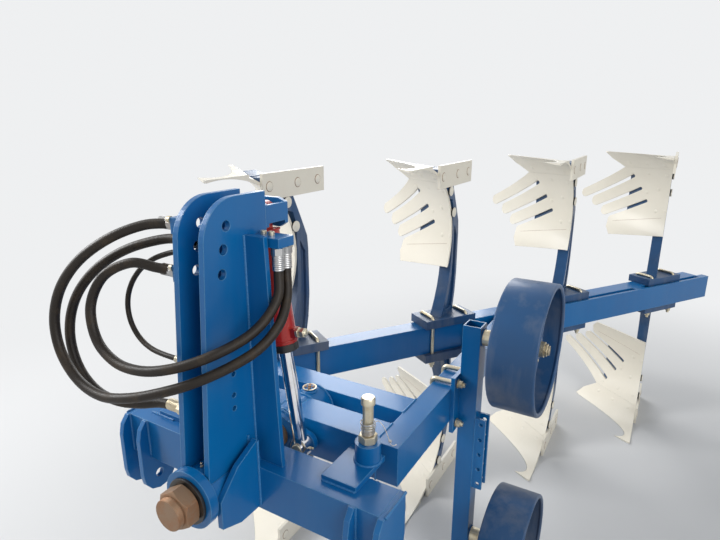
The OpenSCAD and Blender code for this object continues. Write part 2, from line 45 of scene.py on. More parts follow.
# sizes shared with the part's source, in mm, before its shift home
home = np.array((69.0, 64.0, 0.0))
shaftX, midZ = -295.0, 740.0
tubeLow, tubeHigh = 680.0, 800.0
nearX, farX = 25.0, -615.0  # inner faces of the near and far tubes
frontTube, rearTube = (-1048.0, -946.0), (-874.0, -784.0)  # their front and back faces
beamStart, beamAngle, pitch = np.array((-542.0, -679.0)), math.radians(33.43), 693.0
bodies = range(4)
padLow, padHigh = 645.0, 835.0
crossFront, crossBack, crossLow, crossTop = -1255.0, -1145.0, 629.0, 759.0
stopX, stopY, stopPlate, stopFoot = 30.0, -1097.0, 16.0, 752.0
bossTop = 830.0
cylinderY, cylinderZ = -1098.0, 1412.0
postSide, axleY, wheelHeights = 169.0, -589.0, {"upper": 971, "lower": 206}

# camera at the photo's place, lamps in watts, and the pale floor and backdrop
cameraSet = {"place": (0.709, -2.106, 1.650), "tilt": 74.2, "heading": 30.6, "lens": 26.65,
             "sensor": 36, "farthest": 60}
lampSet = {
    "key": {"place": (-4.2, -2.1, 3.3), "aim": (0, 0, 0.6), "size": 2.0, "power": 206},
    "fill": {"place": (3.6, -2.2, 2.8), "aim": (0, 0, 0.7), "size": 3.0, "power": 88},
    "back": {"place": (-2.6, 3.9, 3.3), "aim": (0, 0, 0.8), "size": 3.2, "power": 160},
}
stageSet = {"world": 0.43, "sky": (0.90, 0.95, 1), "floor": 0.56, "stain": 0.95, "pale": (0.86, 0.87, 0.88),
            "near": 1.5, "far": 3.9, "half": 40, "sink": 0.0005}


def makeCamera(s):
    # a level camera tipped up from straight down by the tilt, then turned to its heading
    data = bpy.data.cameras.new("camera")
    data.lens = s["lens"]
    data.sensor_width = s["sensor"]
    data.clip_end = s["farthest"]
    camera = bpy.data.objects.new("camera", data)
    camera.location = s["place"]
    camera.rotation_euler = (math.radians(s["tilt"]), 0, math.radians(s["heading"]))
    bpy.context.scene.collection.objects.link(camera)
    bpy.context.scene.camera = camera


def areaLamp(name, s):
    # a square lamp whose face looks from its place to its aim
    data = bpy.data.lights.new(name, "AREA")
    data.size = s["size"]
    data.energy = s["power"]
    lamp = bpy.data.objects.new(name, data)
    lamp.location = s["place"]
    lamp.visible_camera = False
    way = Vector(s["aim"]) - Vector(s["place"])
    lamp.rotation_euler = way.to_track_quat("-Z", "Y").to_euler()
    bpy.context.scene.collection.objects.link(lamp)


makeCamera(cameraSet)
bpy.context.scene.view_settings.view_transform = "Standard"
print("camera placed")


class Wire:  # one socket, on which + - * / add Math nodes
    def __init__(self, tree, socket):
        self.tree = tree
        self.socket = socket

    def maths(self, operation, *values):
        return addNode(self.tree, "ShaderNodeMath", {"operation": operation}, dict(enumerate(values)))

    def __add__(self, other):
        return self.maths("ADD", self, other)

    def __radd__(self, other):
        return self.maths("ADD", other, self)

    def __sub__(self, other):
        return self.maths("SUBTRACT", self, other)

    def __rsub__(self, other):
        return self.maths("SUBTRACT", other, self)

    def __mul__(self, other):
        return self.maths("MULTIPLY", self, other)

    def __rmul__(self, other):
        return self.maths("MULTIPLY", other, self)

    def __truediv__(self, other):
        return self.maths("DIVIDE", self, other)

    def __rtruediv__(self, other):
        return self.maths("DIVIDE", other, self)


def addNode(tree, kind, settings=None, inputs=None, output=0):
    # inputs by name or number, a Wire or a plain value; gives back the output as a Wire
    node = tree.nodes.new(kind)
    for key, value in (settings or {}).items():
        setattr(node, key, value)
    for key, value in (inputs or {}).items():
        if isinstance(value, Wire):
            tree.links.new(value.socket, node.inputs[key])
        elif isinstance(value, (tuple, list)) and len(node.inputs[key].default_value) == 4:
            node.inputs[key].default_value = tuple(value)[:3] + (1,)
        else:
            node.inputs[key].default_value = value
    return None if output is None else Wire(tree, node.outputs[output])


def clampWire(w, low=0.0, high=1.0):
    # 0 up to low, 1 from high on, a straight line between
    return addNode(w.tree, "ShaderNodeMapRange", {"clamp": True},
                   {"Value": w, "From Min": low, "From Max": high, "To Min": 0.0, "To Max": 1.0})


def mixColour(tree, factor, first, second):
    # first at factor 0, second at factor 1
    return addNode(tree, "ShaderNodeMix", {"data_type": "RGBA", "clamp_factor": True},
                   {0: factor, 6: first, 7: second}, 2)


def noise(tree, scale, detail=3.0, rough=0.5, stretch=(1, 1, 1)):
    # scale is in waves to a metre, and a stretch under 1 draws them out along that axis
    where = addNode(tree, "ShaderNodeTexCoord", output="Object")
    mapped = addNode(tree, "ShaderNodeMapping", None, {"Vector": where, "Scale": stretch})
    return addNode(tree, "ShaderNodeTexNoise", None,
                   {"Vector": mapped, "Scale": scale, "Detail": detail, "Roughness": rough})


def softNormal(tree, radius):
    # the normal that the piece would have with its edges rounded to this radius in metres
    return addNode(tree, "ShaderNodeBevel", {"samples": 6}, {"Radius": radius})


def edgeMask(tree, soft, full=0.22):
    # how far the rounded normal leans away from the flat one: 0 on a face, 1 at an edge
    flat = addNode(tree, "ShaderNodeNewGeometry", output="Normal")
    lean = addNode(tree, "ShaderNodeVectorMath", {"operation": "DOT_PRODUCT"}, {0: soft, 1: flat}, "Value")
    return clampWire(1.0 - lean, 0.0, full)


def newMaterial(name):
    # an empty node tree, which closeMaterial ends
    material = bpy.data.materials.new(name)
    material.use_nodes = True
    material.node_tree.nodes.clear()
    return material, material.node_tree


def closeMaterial(tree, shader):
    # the shader goes to the output of the tree
    addNode(tree, "ShaderNodeOutputMaterial", None, {"Surface": shader}, None)


# paints: colours, wear and dust by share, coat and shine of the gloss, peel of the surface, round in metres;
# the edge colour is a painted highlight along the edges
paintSet = {
    "bluePaint": {
        "base": (0.001, 0.140, 0.385), "deep": (0.001, 0.094, 0.300), "edge": (0.16, 0.42, 0.68),
        "chip": (0.07, 0.09, 0.12), "rough": 0.30, "coat": 0.22, "shine": 0.30, "wear": 0.30,
        "dust": 0.04, "peel": 0.12, "round": 0.0034},
    "darkPaint": {
        "base": (0.016, 0.078, 0.200), "deep": (0.030, 0.046, 0.082), "edge": (0.10, 0.20, 0.42),
        "chip": (0.10, 0.09, 0.08), "rough": 0.38, "coat": 0.10, "shine": 0.30, "wear": 0.45,
        "dust": 0.30, "peel": 0.22, "round": 0.0034},
    "creamPaint": {
        "base": (0.82, 0.77, 0.66), "deep": (0.74, 0.68, 0.56), "edge": (0.80, 0.77, 0.68),
        "chip": (0.30, 0.27, 0.24), "rough": 0.38, "coat": 0.14, "shine": 0.34, "wear": 0.40,
        "dust": 0.05, "peel": 0.10, "round": 0.0016},
    "redPaint": {
        "base": (0.44, 0.016, 0.012), "deep": (0.29, 0.009, 0.008), "edge": (0.62, 0.07, 0.05),
        "chip": (0.16, 0.13, 0.12), "rough": 0.28, "coat": 0.3, "shine": 0.34, "wear": 0.3,
        "dust": 0.05, "peel": 0.12, "round": 0.0016},
    "blackPaint": {
        "base": (0.012, 0.012, 0.013), "deep": (0.02, 0.018, 0.016), "edge": (0.05, 0.05, 0.05),
        "chip": (0.2, 0.2, 0.2), "rough": 0.35, "coat": 0.2, "shine": 0.34, "wear": 0.35,
        "dust": 0.06, "peel": 0.12, "round": 0.001},
}
dustColour = (0.42, 0.39, 0.33)
paintGrain = {"blotch": 3.1, "fine": 46, "peel": 420, "streak": 14, "scuff": 60}  # waves to a metre


def paint(name, s):
    # base turns deep in blotches and pale at edges, a painted highlight where the edges would catch the
    # light; dust settles in upright streaks;
    # chips show where edge, grain and blotch together pass a threshold, and lie lower than the paint
    material, tree = newMaterial(name)
    soft = softNormal(tree, s["round"])
    edge = edgeMask(tree, soft)
    blotch = noise(tree, paintGrain["blotch"], 4, 0.55)
    fine = noise(tree, paintGrain["fine"], 5, 0.65)
    peel = noise(tree, paintGrain["peel"], 2, 0.5)
    streak = noise(tree, paintGrain["streak"], 4, 0.6, (1, 1, 0.12))
    chips = clampWire(edge * 0.9 + (fine - 0.5) * 1.3 + (blotch - 0.5) * 0.6, 0.78, 0.92) * s["wear"]
    scuffs = clampWire(noise(tree, paintGrain["scuff"], 3, 0.7), 0.72, 0.84) * 0.22
    dust = clampWire(streak * 0.6 + blotch * 0.5, 0.50, 0.78) * s["dust"]
    colour = mixColour(tree, clampWire(blotch, 0.3, 0.75) * 0.6, s["base"], s["deep"])
    # painted highlight: edges mixed towards the pale edge colour
    colour = mixColour(tree, edge * 0.75, colour, s["edge"])
    colour = mixColour(tree, dust, colour, dustColour)
    colour = mixColour(tree, clampWire(chips + scuffs * 0.3), colour, s["chip"])
    height = peel * 0.6 + fine * 0.4 - chips
    bump = addNode(tree, "ShaderNodeBump", None,
                   {"Strength": s["peel"], "Distance": 0.0008, "Height": height, "Normal": soft})
    closeMaterial(tree, addNode(tree, "ShaderNodeBsdfPrincipled", None, {
        "Base Color": colour, "Metallic": 0.0, "Normal": bump,
        "Roughness": s["rough"] + dust * 0.8 + chips * 0.3 + (fine - 0.5) * 0.10,
        "Specular IOR Level": s["shine"], "Coat Roughness": 0.12,
        "Coat Weight": (1.0 - clampWire(chips + dust)) * s["coat"]}))
    return material


metalSet = {
    "zinc": {"base": (0.66, 0.60, 0.46), "stain": (0.50, 0.38, 0.20), "rough": 0.33, "metal": 0.85,
             "round": 0.0009},
    "bareSteel": {"base": (0.50, 0.50, 0.50), "stain": (0.30, 0.22, 0.16), "rough": 0.32, "metal": 1.0,
                  "round": 0.001},
    "brownSteel": {"base": (0.31, 0.20, 0.125), "stain": (0.36, 0.15, 0.06), "rough": 0.50, "metal": 0.6,
                   "round": 0.0016},
    "chromeRod": {"base": (0.80, 0.80, 0.82), "stain": (0.66, 0.66, 0.66), "rough": 0.09, "metal": 1.0,
                  "round": 0.0008},
}
metalGrain = {"blotch": 21, "fine": 260, "drawn": 900}  # waves to a metre


def metal(name, s):
    # base stained in blotches with a fine grain, and drawn lines across Y in the bump
    material, tree = newMaterial(name)
    blotch = noise(tree, metalGrain["blotch"], 4, 0.6)
    fine = noise(tree, metalGrain["fine"], 3, 0.6)
    drawn = noise(tree, metalGrain["drawn"], 2, 0.5, (1, 0.05, 1))
    stain = clampWire(blotch + (fine - 0.5) * 0.4, 0.45, 0.72) * 0.7
    bump = addNode(tree, "ShaderNodeBump", None,
                   {"Strength": 0.10, "Distance": 0.0004, "Height": fine * 0.6 + drawn * 0.4,
                    "Normal": softNormal(tree, s["round"])})
    closeMaterial(tree, addNode(tree, "ShaderNodeBsdfPrincipled", None, {
        "Base Color": mixColour(tree, stain, s["base"], s["stain"]), "Metallic": s["metal"],
        "Roughness": s["rough"] + clampWire(blotch, 0.4, 0.8) * 0.18 + (fine - 0.5) * 0.08,
        "Normal": bump}))
    return material


hoseSet = {"base": (0.016, 0.011, 0.007), "worn": (0.062, 0.042, 0.024), "rough": 0.44, "shine": 0.32,
           "turns": 0.0038, "blotch": 17, "fine": 300}


def hoseRubber(name, s):
    # cover of wrapped rubber: height is the sine of 2 pi (u / turns + v), on the piece's own UV
    material, tree = newMaterial(name)
    along = addNode(tree, "ShaderNodeUVMap", {"uv_map": "along"})
    u, v = [addNode(tree, "ShaderNodeSeparateXYZ", None, {0: along}, k) for k in (0, 1)]
    wave = (u / s["turns"] + v) * (2 * math.pi)
    ring = wave.maths("SINE", wave)
    fine = noise(tree, s["fine"], 3, 0.6)
    worn = clampWire(noise(tree, s["blotch"], 4, 0.6) + (fine - 0.5) * 0.5, 0.50, 0.74) * 0.75
    bump = addNode(tree, "ShaderNodeBump", None,
                   {"Strength": 0.35, "Distance": 0.0005, "Height": ring * 0.5 + fine})
    closeMaterial(tree, addNode(tree, "ShaderNodeBsdfPrincipled", None, {
        "Base Color": mixColour(tree, worn, s["base"], s["worn"]), "Roughness": s["rough"] + worn * 0.25,
        "Specular IOR Level": s["shine"], "Normal": bump}))
    return material


finish = {name: paint(name, s) for name, s in paintSet.items()}
finish.update({name: metal(name, s) for name, s in metalSet.items()})
finish["hose"] = hoseRubber("hose", hoseSet)
slotFinish = {"blue_paint": "bluePaint", "dark_paint": "darkPaint", "cream_paint": "creamPaint",
              "red_paint": "redPaint", "black_steel": "blackPaint", "zinc": "zinc", "bare_steel": "bareSteel",
              "brown_steel": "brownSteel", "chrome_rod": "chromeRod", "hose": "hose"}
ownFinish = {"shaft": "brownSteel"}  # its end is browned steel, as its nut is
for part in frame["record"]["subparts"]:
    mesh = nodes[part["node"]].data
    mesh.materials.clear()
    mesh.materials.append(finish[ownFinish.get(part["node"], slotFinish[part["material_slot"]])])
print("finishes made")

creaseAngle, joinedWithin = math.radians(34), 1e-6


def putPiece(name, shape, body, slot, replaces=None):
    # points in mm are moved home and turned to metres; doubled points are joined and faces turned outwards
    points, faces = shape[:2]
    mesh = bpy.data.meshes.new(name)
    mesh.from_pydata((points + home) / 1000, [], faces)
    mesh.materials.append(finish[slotFinish[slot]])
    if len(shape) > 2:
        layer = mesh.uv_layers.new(name="along")
        loops = np.empty(len(mesh.loops), np.int32)
        mesh.loops.foreach_get("vertex_index", loops)
        layer.data.foreach_set("uv", shape[2][loops].astype(np.float32).ravel())
    clean = bmesh.new()
    clean.from_mesh(mesh)
    bmesh.ops.remove_doubles(clean, verts=clean.verts, dist=joinedWithin)
    bmesh.ops.recalc_face_normals(clean, faces=clean.faces)
    clean.to_mesh(mesh)
    clean.free()
    mesh.shade_smooth()
    mesh.set_sharp_from_angle(angle=creaseAngle)
    piece = bpy.data.objects.new(name, mesh)
    bpy.context.scene.collection.objects.link(piece)
    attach(piece, body)
    if replaces:
        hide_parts(replaces)
    return piece


def gridFaces(rows, columns):
    # quads between rings of points, the last column meeting the first
    r = np.arange(rows - 1)[:, None]
    c = np.arange(columns)[None]
    d = (c + 1) % columns
    quads = [r * columns + c, r * columns + d, (r + 1) * columns + d, (r + 1) * columns + c]
    return np.stack(np.broadcast_arrays(*quads), -1).reshape(-1, 4)


def around(sides):
    # even angles of a full turn
    return np.arange(sides) * 2 * np.pi / sides


def measured(path):
    # length of the path up to each of its points
    return np.concatenate([[0], np.cumsum(np.linalg.norm(np.diff(path, axis=0), axis=1))])


def smoothPath(points, step):
    # uniform cubic through the points: 0.5 (2b + (c-a)t + (2a-5b+4c-d)t^2 + (3b-a-3c+d)t^3)
    p = np.array(points, float)
    n = len(p) - 1
    i = np.repeat(np.arange(n), step)
    t = np.tile(np.arange(step) / step, n)[:, None]
    a, b, c, d = p[np.maximum(i - 1, 0)], p[i], p[i + 1], p[np.minimum(i + 2, n)]
    q = 0.5 * (2 * b + (c - a) * t + (2 * a - 5 * b + 4 * c - d) * t ** 2 + (3 * b - a - 3 * c + d) * t ** 3)
    return np.vstack([q, p[-1]])


def stepped(corners, step):
    # points about every step mm along the straight runs between the corners
    p = np.array(corners, float)
    run = measured(p)
    s = np.linspace(0, run[-1], max(3, int(run[-1] / step) + 1))
    return np.stack([np.interp(s, run, p[:, k]) for k in range(3)], 1)


def swept(path, radius, sides, first=None, last=None):
    # a ring at each station, centre + radius (cos a times one side + sin a times the other), which turns
    # no more than the path does; the end rings are drawn to a point
    t = np.gradient(path, axis=0)
    t[0] = t[0] if first is None else first
    t[-1] = t[-1] if last is None else last
    t /= np.linalg.norm(t, axis=1)[:, None]
    side = np.cross(t[0], (0, 1, 0) if abs(t[0][1]) < 0.9 else (1, 0, 0))
    sidesAlong = []
    for d in t:
        side = side - side.dot(d) * d
        side = side / np.linalg.norm(side)
        sidesAlong.append(side)
    u = np.array(sidesAlong)
    v = np.cross(t, u)
    a = around(sides)[None, :, None]
    r = np.broadcast_to(np.asarray(radius, float), (len(path),))[:, None, None]
    rings = path[:, None] + r * (np.cos(a) * u[:, None] + np.sin(a) * v[:, None])
    caps = [np.repeat(path[[k]], sides, 0)[None] for k in (0, -1)]
    rings = np.concatenate([caps[0], rings, caps[1]])
    length = measured(path) / 1000
    length = np.concatenate([[0], length, length[-1:]])
    uv = np.stack([np.repeat(length, sides), np.tile(np.arange(sides) / sides, len(rings))], 1)
    return rings.reshape(-1, 3), gridFaces(len(rings), sides), uv


def turned(profile, sides=36):
    # every (radius, height) turned about Z: (r cos a, r sin a, h)
    p = np.array(profile, float)
    a = around(sides)
    points = np.stack([p[:, :1] * np.cos(a), p[:, :1] * np.sin(a), np.repeat(p[:, 1:], sides, 1)], -1)
    return points.reshape(-1, 3), gridFaces(len(p), sides)


def rod(radius, low, high, sides=28):
    # plain round bar from low to high
    return turned([(0, low), (radius, low), (radius, high), (0, high)], sides)


def bevelled(radius, low, high, cut, sides=32, crown=0.0):
    # round bar whose upper rim is cut back by (inwards, downwards) and whose middle stands up by the crown
    return turned([(0, low), (radius, low), (radius, high - cut[1]), (radius - cut[0], high),
                   (0, high + crown)], sides)


def hexed(flats, height, bore=0.0, sides=36):
    # radius f / cos(a from the nearest flat), corners cut back by (radius - 0.96 f) tan 30 from both faces
    f = flats / 2
    a = around(sides)
    edge = f / np.cos((a + np.pi / 6) % (np.pi / 3) - np.pi / 6)
    flat = 0.96 * f
    drop = (edge - flat) * math.tan(math.pi / 6)
    one = np.ones(sides)
    r = np.stack([bore * one, flat * one, edge, edge, flat * one, bore * one])
    h = np.stack([0 * one, 0 * one, drop, height - drop, height * one, height * one])
    points = np.stack([r * np.cos(a), r * np.sin(a), h], -1)
    return points.reshape(-1, 3), gridFaces(6, sides)


def threaded(radius, length, lead, sides=16):
    # radius less 0.3 of the lead times |2 frac(h / lead - a / 2 pi) - 1|, the ends drawn in
    h = np.linspace(0, length, int(length / lead * 5) + 2)[:, None]
    a = np.arange(sides)[None] / sides
    r = radius - 0.3 * lead * np.abs(2 * ((h / lead - a) % 1) - 1)
    r[[0, -1]] = 0
    r[[1, -2]] *= 0.93
    h = h + 0 * a
    h[1], h[-2] = h[0], h[-1]
    points = np.stack([r * np.cos(2 * np.pi * a), r * np.sin(2 * np.pi * a), h], -1)
    return points.reshape(-1, 3), gridFaces(len(h), sides)


def domed(radius, height, sides=28):
    # quarter ellipse turned about Z over a short straight edge
    t = np.linspace(0, np.pi / 2, 7)
    return turned([(0, -2), (radius, -2)] + [(radius * math.cos(k), height * math.sin(k)) for k in t], sides)


def joined(*shapes):
    # all shapes as one set of points and faces, each face number raised by the points before it
    starts = np.cumsum([0] + [len(s[0]) for s in shapes[:-1]])
    faces = [np.asarray(s[1]) + n for s, n in zip(shapes, starts)]
    return np.vstack([s[0] for s in shapes]), np.vstack(faces)


def lifted(shape, height):
    # moved up its own Z
    return shape[0] + np.array((0, 0, height)), shape[1]


def placed(shape, spots):
    # a copy for each (place, axis, turn): the shape's Z laid along the axis, turned about it
    copies = []
    for place, axis, turn in spots:
        z = np.array(axis, float) / np.linalg.norm(axis)
        x = np.cross((0, 0, 1) if abs(z[2]) < 0.9 else (0, 1, 0), z)
        x /= np.linalg.norm(x)
        y = np.cross(z, x)
        c, s = math.cos(turn), math.sin(turn)
        spin = np.stack([c * x + s * y, c * y - s * x, z])
        copies.append((shape[0] @ spin + np.array(place, float), shape[1]))
    return joined(*copies)


weldSet = {"step": 1.1, "ripple": 3.1, "rise": 0.16, "waver": 0.05, "slow": (9.7, 23.0)}


def weldBead(corners, radius, sides=9):
    # swept bead whose radius ripples: R (0.84 + 0.16 |sin(pi s / 3.1 mm)|), with a slow waver
    w = weldSet
    path = stepped(corners, w["step"])
    s = np.arange(len(path)) * w["step"]
    waver = w["waver"] * np.sin(s / w["slow"][0]) * np.sin(s / w["slow"][1])
    ripple = 1 - w["rise"] + w["rise"] * np.abs(np.sin(np.pi * s / w["ripple"])) + waver
    return swept(path, radius * ripple, sides)[:2]


def circle(centre, radius, axis, count=60):
    # points centre + r (cos a, sin a) in the plane across the axis, 0 for X to 2 for Z
    a = np.linspace(0, 2 * math.pi, count)
    ring = np.zeros((count, 3))
    ring[:, [k for k in range(3) if k != axis]] = np.stack([np.cos(a), np.sin(a)], 1)
    return np.array(centre, float) + radius * ring


def bothSides(corners):
    # a line of points and its twin across the shaft's upright plane
    p = np.array(corners, float)
    return [p, p * (-1, 1, 1) + (2 * shaftX, 0, 0)]


def onBeam(side, along, height):
    # beam-local (side, along, height) to the part's space, turned by the beam's angle about its start
    c, s = math.cos(beamAngle), math.sin(beamAngle)
    return np.array((beamStart[0] + side * c + along * s, beamStart[1] - side * s + along * c, height))


def upperTwin(points):
    # mirrored about the shaft's height
    return points * (1, 1, -1) + (0, 0, 2 * midZ)


def atStations(spots):
    # body-local (place, axis, turn) at the four bodies, lower set and its mirrored upper set
    found = []
    for k in bodies:
        move = onBeam(0, k * pitch, 0)
        for place, axis, turn in spots:
            p = np.array(place, float) + move
            d = np.array(axis, float)
            found += [(p, d, turn), (upperTwin(p), d * (1, 1, -1), turn)]
    return found


def atBodies(shape):
    # a body-local shape at the four bodies, lower set and its mirrored upper set
    low = [shape[0] + onBeam(0, k * pitch, 0) for k in bodies]
    return joined(*[(p, shape[1]) for p in low], *[(upperTwin(p), shape[1]) for p in low])


workFace = {"radius": 313.0, "centre": -289.0, "tilt": math.radians(6.2), "turn": math.radians(59.4),
            "middle": 300}


def onBoard(along, height, depth=0.0):
    # body-local point and facing of the working cylinder at (along, height), depth mm behind its face:
    # the reach from its leaned axis is the root of radius squared less rise squared
    tilt = workFace["tilt"]
    c, s = math.cos(workFace["turn"]), math.sin(workFace["turn"])
    rise = along * math.sin(tilt) + (height - workFace["middle"]) * math.cos(tilt)
    reach = math.sqrt(workFace["radius"] ** 2 - rise ** 2)
    facing = np.array((-reach, -rise * math.sin(tilt), -rise * math.cos(tilt))) / workFace["radius"]
    point = np.array((workFace["centre"] + reach, along, height)) - depth * facing
    spin = np.array(((c, -s, 0), (s, c, 0), (0, 0, 1)))
    return spin @ point, spin @ facing


# hoses, on the same points as the part's source
hosePoints = {
    "hose_left": [(-170, -1162, 1329.5), (-168, -1164, 1280), (-152, -1186, 1226), (-140, -1232, 1175),
                  (-152, -1290, 1132), (-188, -1350, 1100), (-245, -1410, 1070), (-318, -1450, 1042),
                  (-408, -1475, 1014), (-502, -1484, 998), (-590, -1484, 1018), (-655, -1480, 1078),
                  (-672, -1474, 1160), (-645, -1462, 1245), (-585, -1440, 1320), (-515, -1400, 1375),
                  (-450, -1350, 1405), (-389.2, -1318, 1410)],
    "hose_right": [(-170, -1192, 1329.5), (-168, -1195, 1285), (-158, -1213, 1235), (-162, -1256, 1190),
                   (-180, -1312, 1156), (-228, -1384, 1125), (-300, -1430, 1098), (-385, -1450, 1080),
                   (-475, -1452, 1082), (-550, -1445, 1122), (-580, -1430, 1200), (-552, -1404, 1275),
                   (-490, -1368, 1310), (-430, -1340, 1300), (-389.5, -1325, 1294)],
}
hoseRadius = 12.5
# two more, which leave the mast's far plate and come back to it lower down
loopSet = {
    "loop_hose": {"radius": 12.5, "route": [
        (-365, -1290, 1364), (-428.5, -1291.5, 1363.5), (-487, -1311, 1351.5), (-541.5, -1334.5, 1332),
        (-590, -1360.5, 1303), (-632, -1384.5, 1264.5), (-665, -1405.5, 1216.5), (-684, -1421.5, 1161.5),
        (-687, -1432.5, 1102.5), (-672, -1438, 1044.5), (-640.5, -1438, 994), (-596, -1430.5, 956.5),
        (-543, -1414.5, 937.5), (-486.5, -1393, 936), (-428.5, -1371, 944.5), (-365, -1366, 948)]},
    "thin_hose": {"radius": 7.0, "route": [
        (-365, -1298, 1334), (-405, -1299, 1333.5), (-443.5, -1302.5, 1323), (-480, -1306.5, 1308.5),
        (-513.5, -1311, 1288), (-543, -1314.5, 1262), (-566.5, -1318, 1231), (-582, -1321, 1196),
        (-586, -1323.5, 1159), (-576.5, -1326, 1124), (-554, -1328.5, 1095), (-522, -1331.5, 1076),
        (-484.5, -1334.5, 1066.5), (-445, -1336.5, 1064), (-405, -1338.5, 1064.5), (-365, -1339, 1065)]},
}


def layHose(name, route, radius, leaves, node=None):
    # tube along the smoothed route, ten stations to a stretch, entering its far end along +X
    path = smoothPath(route, 10)
    hose = putPiece(name, swept(path, radius, 24, leaves, (1, 0, 0)), "headstock", "hose", node)
    2 * radius / 1000


for name, route in hosePoints.items():
    layHose(name + "_cover", route, hoseRadius, (0, 0, -1), name)
for name, s in loopSet.items():
    layHose(name, s["route"], s["radius"], (-1, 0, 0))

ferruleSet = {"radius": 15.2, "length": 38, "crimp": 0.8, "rings": 8, "wall": 2.6, "nut": 30, "nutHeight": 19}
thinFerrule = dict(ferruleSet, radius=9.4, length=30, crimp=0.5, nut=22)
ferruleX = {"hoses": -388, "loops": -363.5}  # where the fittings sit on the mast's far plate


def ferrule(s):
    # crimped sleeve of eight rings r - c (0.5 + 0.5 cos(8 turns)) over a hexagon nut, mouth towards the hose
    h = np.linspace(0, s["length"], 8 * s["rings"] + 1)
    r = s["radius"] - s["crimp"] * (0.5 + 0.5 * np.cos(2 * np.pi * s["rings"] * h / s["length"]))
    mouth = s["radius"] - s["wall"]
    sleeve = turned([(mouth, 0)] + list(zip(r, h)) + [(mouth, s["length"])], 32)
    return joined(lifted(sleeve, -s["length"]), hexed(s["nut"], s["nutHeight"], mouth * 0.7, 36))


hoseEnds = []
for k, route in enumerate(hosePoints.values()):
    hoseEnds.append((np.array(route[0]) + (0, 0, 3), (0, 0, 1), 0.3 * k))
hoseEnds += [((ferruleX["hoses"], *route[-1][1:]), (1, 0, 0), 0.2) for route in hosePoints.values()]
putPiece("hose_ferrules", placed(ferrule(ferruleSet), hoseEnds), "headstock", "bare_steel", "hose_couplers")
loopEnds = []
for s in loopSet.values():
    fitting = ferrule(ferruleSet if s["radius"] == hoseRadius else thinFerrule)
    ends = [((ferruleX["loops"], *s["route"][k][1:]), (1, 0, 0), 0.2 + k) for k in (0, -1)]
    loopEnds.append(placed(fitting, ends))
putPiece("loop_ferrules", joined(*loopEnds), "headstock", "zinc")
print("hoses laid")

# headstock fittings
stopSet = {"shank": 15.0, "neck": 14.6, "lead": 2.6, "thread": 97, "rise": 111, "head": 19, "headHeight": 20,
           "flats": 45, "nut": 22}


def stopBolt(s):
    # threaded shank with a plain neck, chamfered round head and lock nut, measured up from its foot
    top = bossTop + s["rise"] - stopFoot
    head = bevelled(s["head"], top, top + s["headHeight"], (2.5, 4), 40)
    neck = rod(s["neck"], 100, top + 0.5, 32)
    foot = turned([(0, 0), (11, 0), (14.2, 3), (14.2, 5), (0, 5)], 32)
    thread = lifted(threaded(s["shank"], s["thread"], s["lead"], 26), 4)
    nut = lifted(hexed(s["flats"], s["nut"], s["shank"] + 0.05), bossTop - stopFoot)
    return joined(head, neck, foot, thread, nut)


stopLine = bothSides([(stopX, stopY, stopFoot)])
stopSpots = [(p[0], (0, 0, 1), turn) for p, turn in zip(stopLine, (0.2, 0.7))]
putPiece("stop_bolt_set", placed(stopBolt(stopSet), stopSpots), "headstock", "zinc", "stop_bolts")

wireSet = {"wire": 1.15, "turns": 9, "low": 103, "rise": 30, "hop": 26, "swell": 2.2, "knots": 5,
           "tail": [(6, 9, -1), (20, 10, -16), (33, 4, -38), (42, 1, -57), (50, -3, -58), (58, 2, -55)]}


def wireWrap(s, shank):
    # wire wound round the shank, (r cos a, r sin a, rise), in a tight lower and a loose upper lay; the tail
    # hangs from its end, and a small coil along it, (x, cos, sin), is the twist
    a = np.linspace(0, 2 * np.pi * s["turns"], 42 * s["turns"])
    part = a / a[-1]
    r = shank + 1.6 + 1.5 * part + (0.6 + s["swell"] * part) * np.sin(a * 0.37) ** 2
    rise = s["low"] + s["rise"] * part + s["hop"] * np.clip(part - 0.55, 0, 0.2) + 1.6 * np.sin(a * 0.9)
    coil = np.stack([r * np.cos(a), r * np.sin(a), rise], 1)
    end = coil[-1]
    tail = smoothPath([end] + [end + step for step in s["tail"]], 10)
    knot = np.linspace(0, 2 * np.pi * s["knots"], 60)
    twist = np.stack([end[0] + 36 + 0.22 * knot, 2.6 * np.cos(knot) + 3, end[2] - 50 + 2.6 * np.sin(knot)], 1)
    return joined(swept(np.vstack([coil, tail[1:]]), s["wire"], 8)[:2], swept(twist, s["wire"], 8)[:2])


stopWire = wireWrap(wireSet, stopSet["shank"])
putPiece("stop_wires", placed(stopWire, stopSpots), "headstock", "bare_steel")

# socket-head cap screws: two on the hose block, four beside the hoses' far ends
capScrew = turned([(0, 0), (8, 0), (8, 9), (6.8, 10), (4, 10), (4, 5), (0, 5)], 28)
blockSpots = [((x, -1177, 1376), (0, 0, 1), 0) for x in (-225, -200)]
blockSpots += [((-368.5, y, z), (-1, 0, 0), 0)
               for y, z in ((-1334, 1424), (-1308, 1396), (-1341, 1308), (-1315, 1280))]
putPiece("block_screws", placed(capScrew, blockSpots), "headstock", "zinc")

# round plate and bolt that keep the cylinder's pin
keepPlate = turned([(0, 0), (24, 0), (25, 1), (25, 5), (24, 6), (0, 6)], 40)
keeper = joined(keepPlate, lifted(hexed(22, 9), 6))
putPiece("pin_keeper", placed(keeper, [((shaftX, -1045, cylinderZ), (0, 1, 0), 0.2)]), "headstock", "zinc")

# grease nipples, the hub's two on top of its sleeve
nipple = turned([(0, 0), (4, 0), (4, 3.5), (2.4, 4.5), (2.4, 8), (3.4, 9), (3.4, 11), (1.8, 13), (0, 13)], 16)
hubNipples = [((shaftX, y, midZ + 65), (0, 0, 1), 0) for y in (-1375, -1285)]
putPiece("head_nipples", placed(nipple, hubNipples), "headstock", "zinc")


def plateEdge(x, *lines):
    # the same weld line on both sides of the shaft's plane for every pair of (y, z) ends
    return [weldBead(line, 4.2) for ends in lines for line in bothSides([(x, y, z) for y, z in ends])]


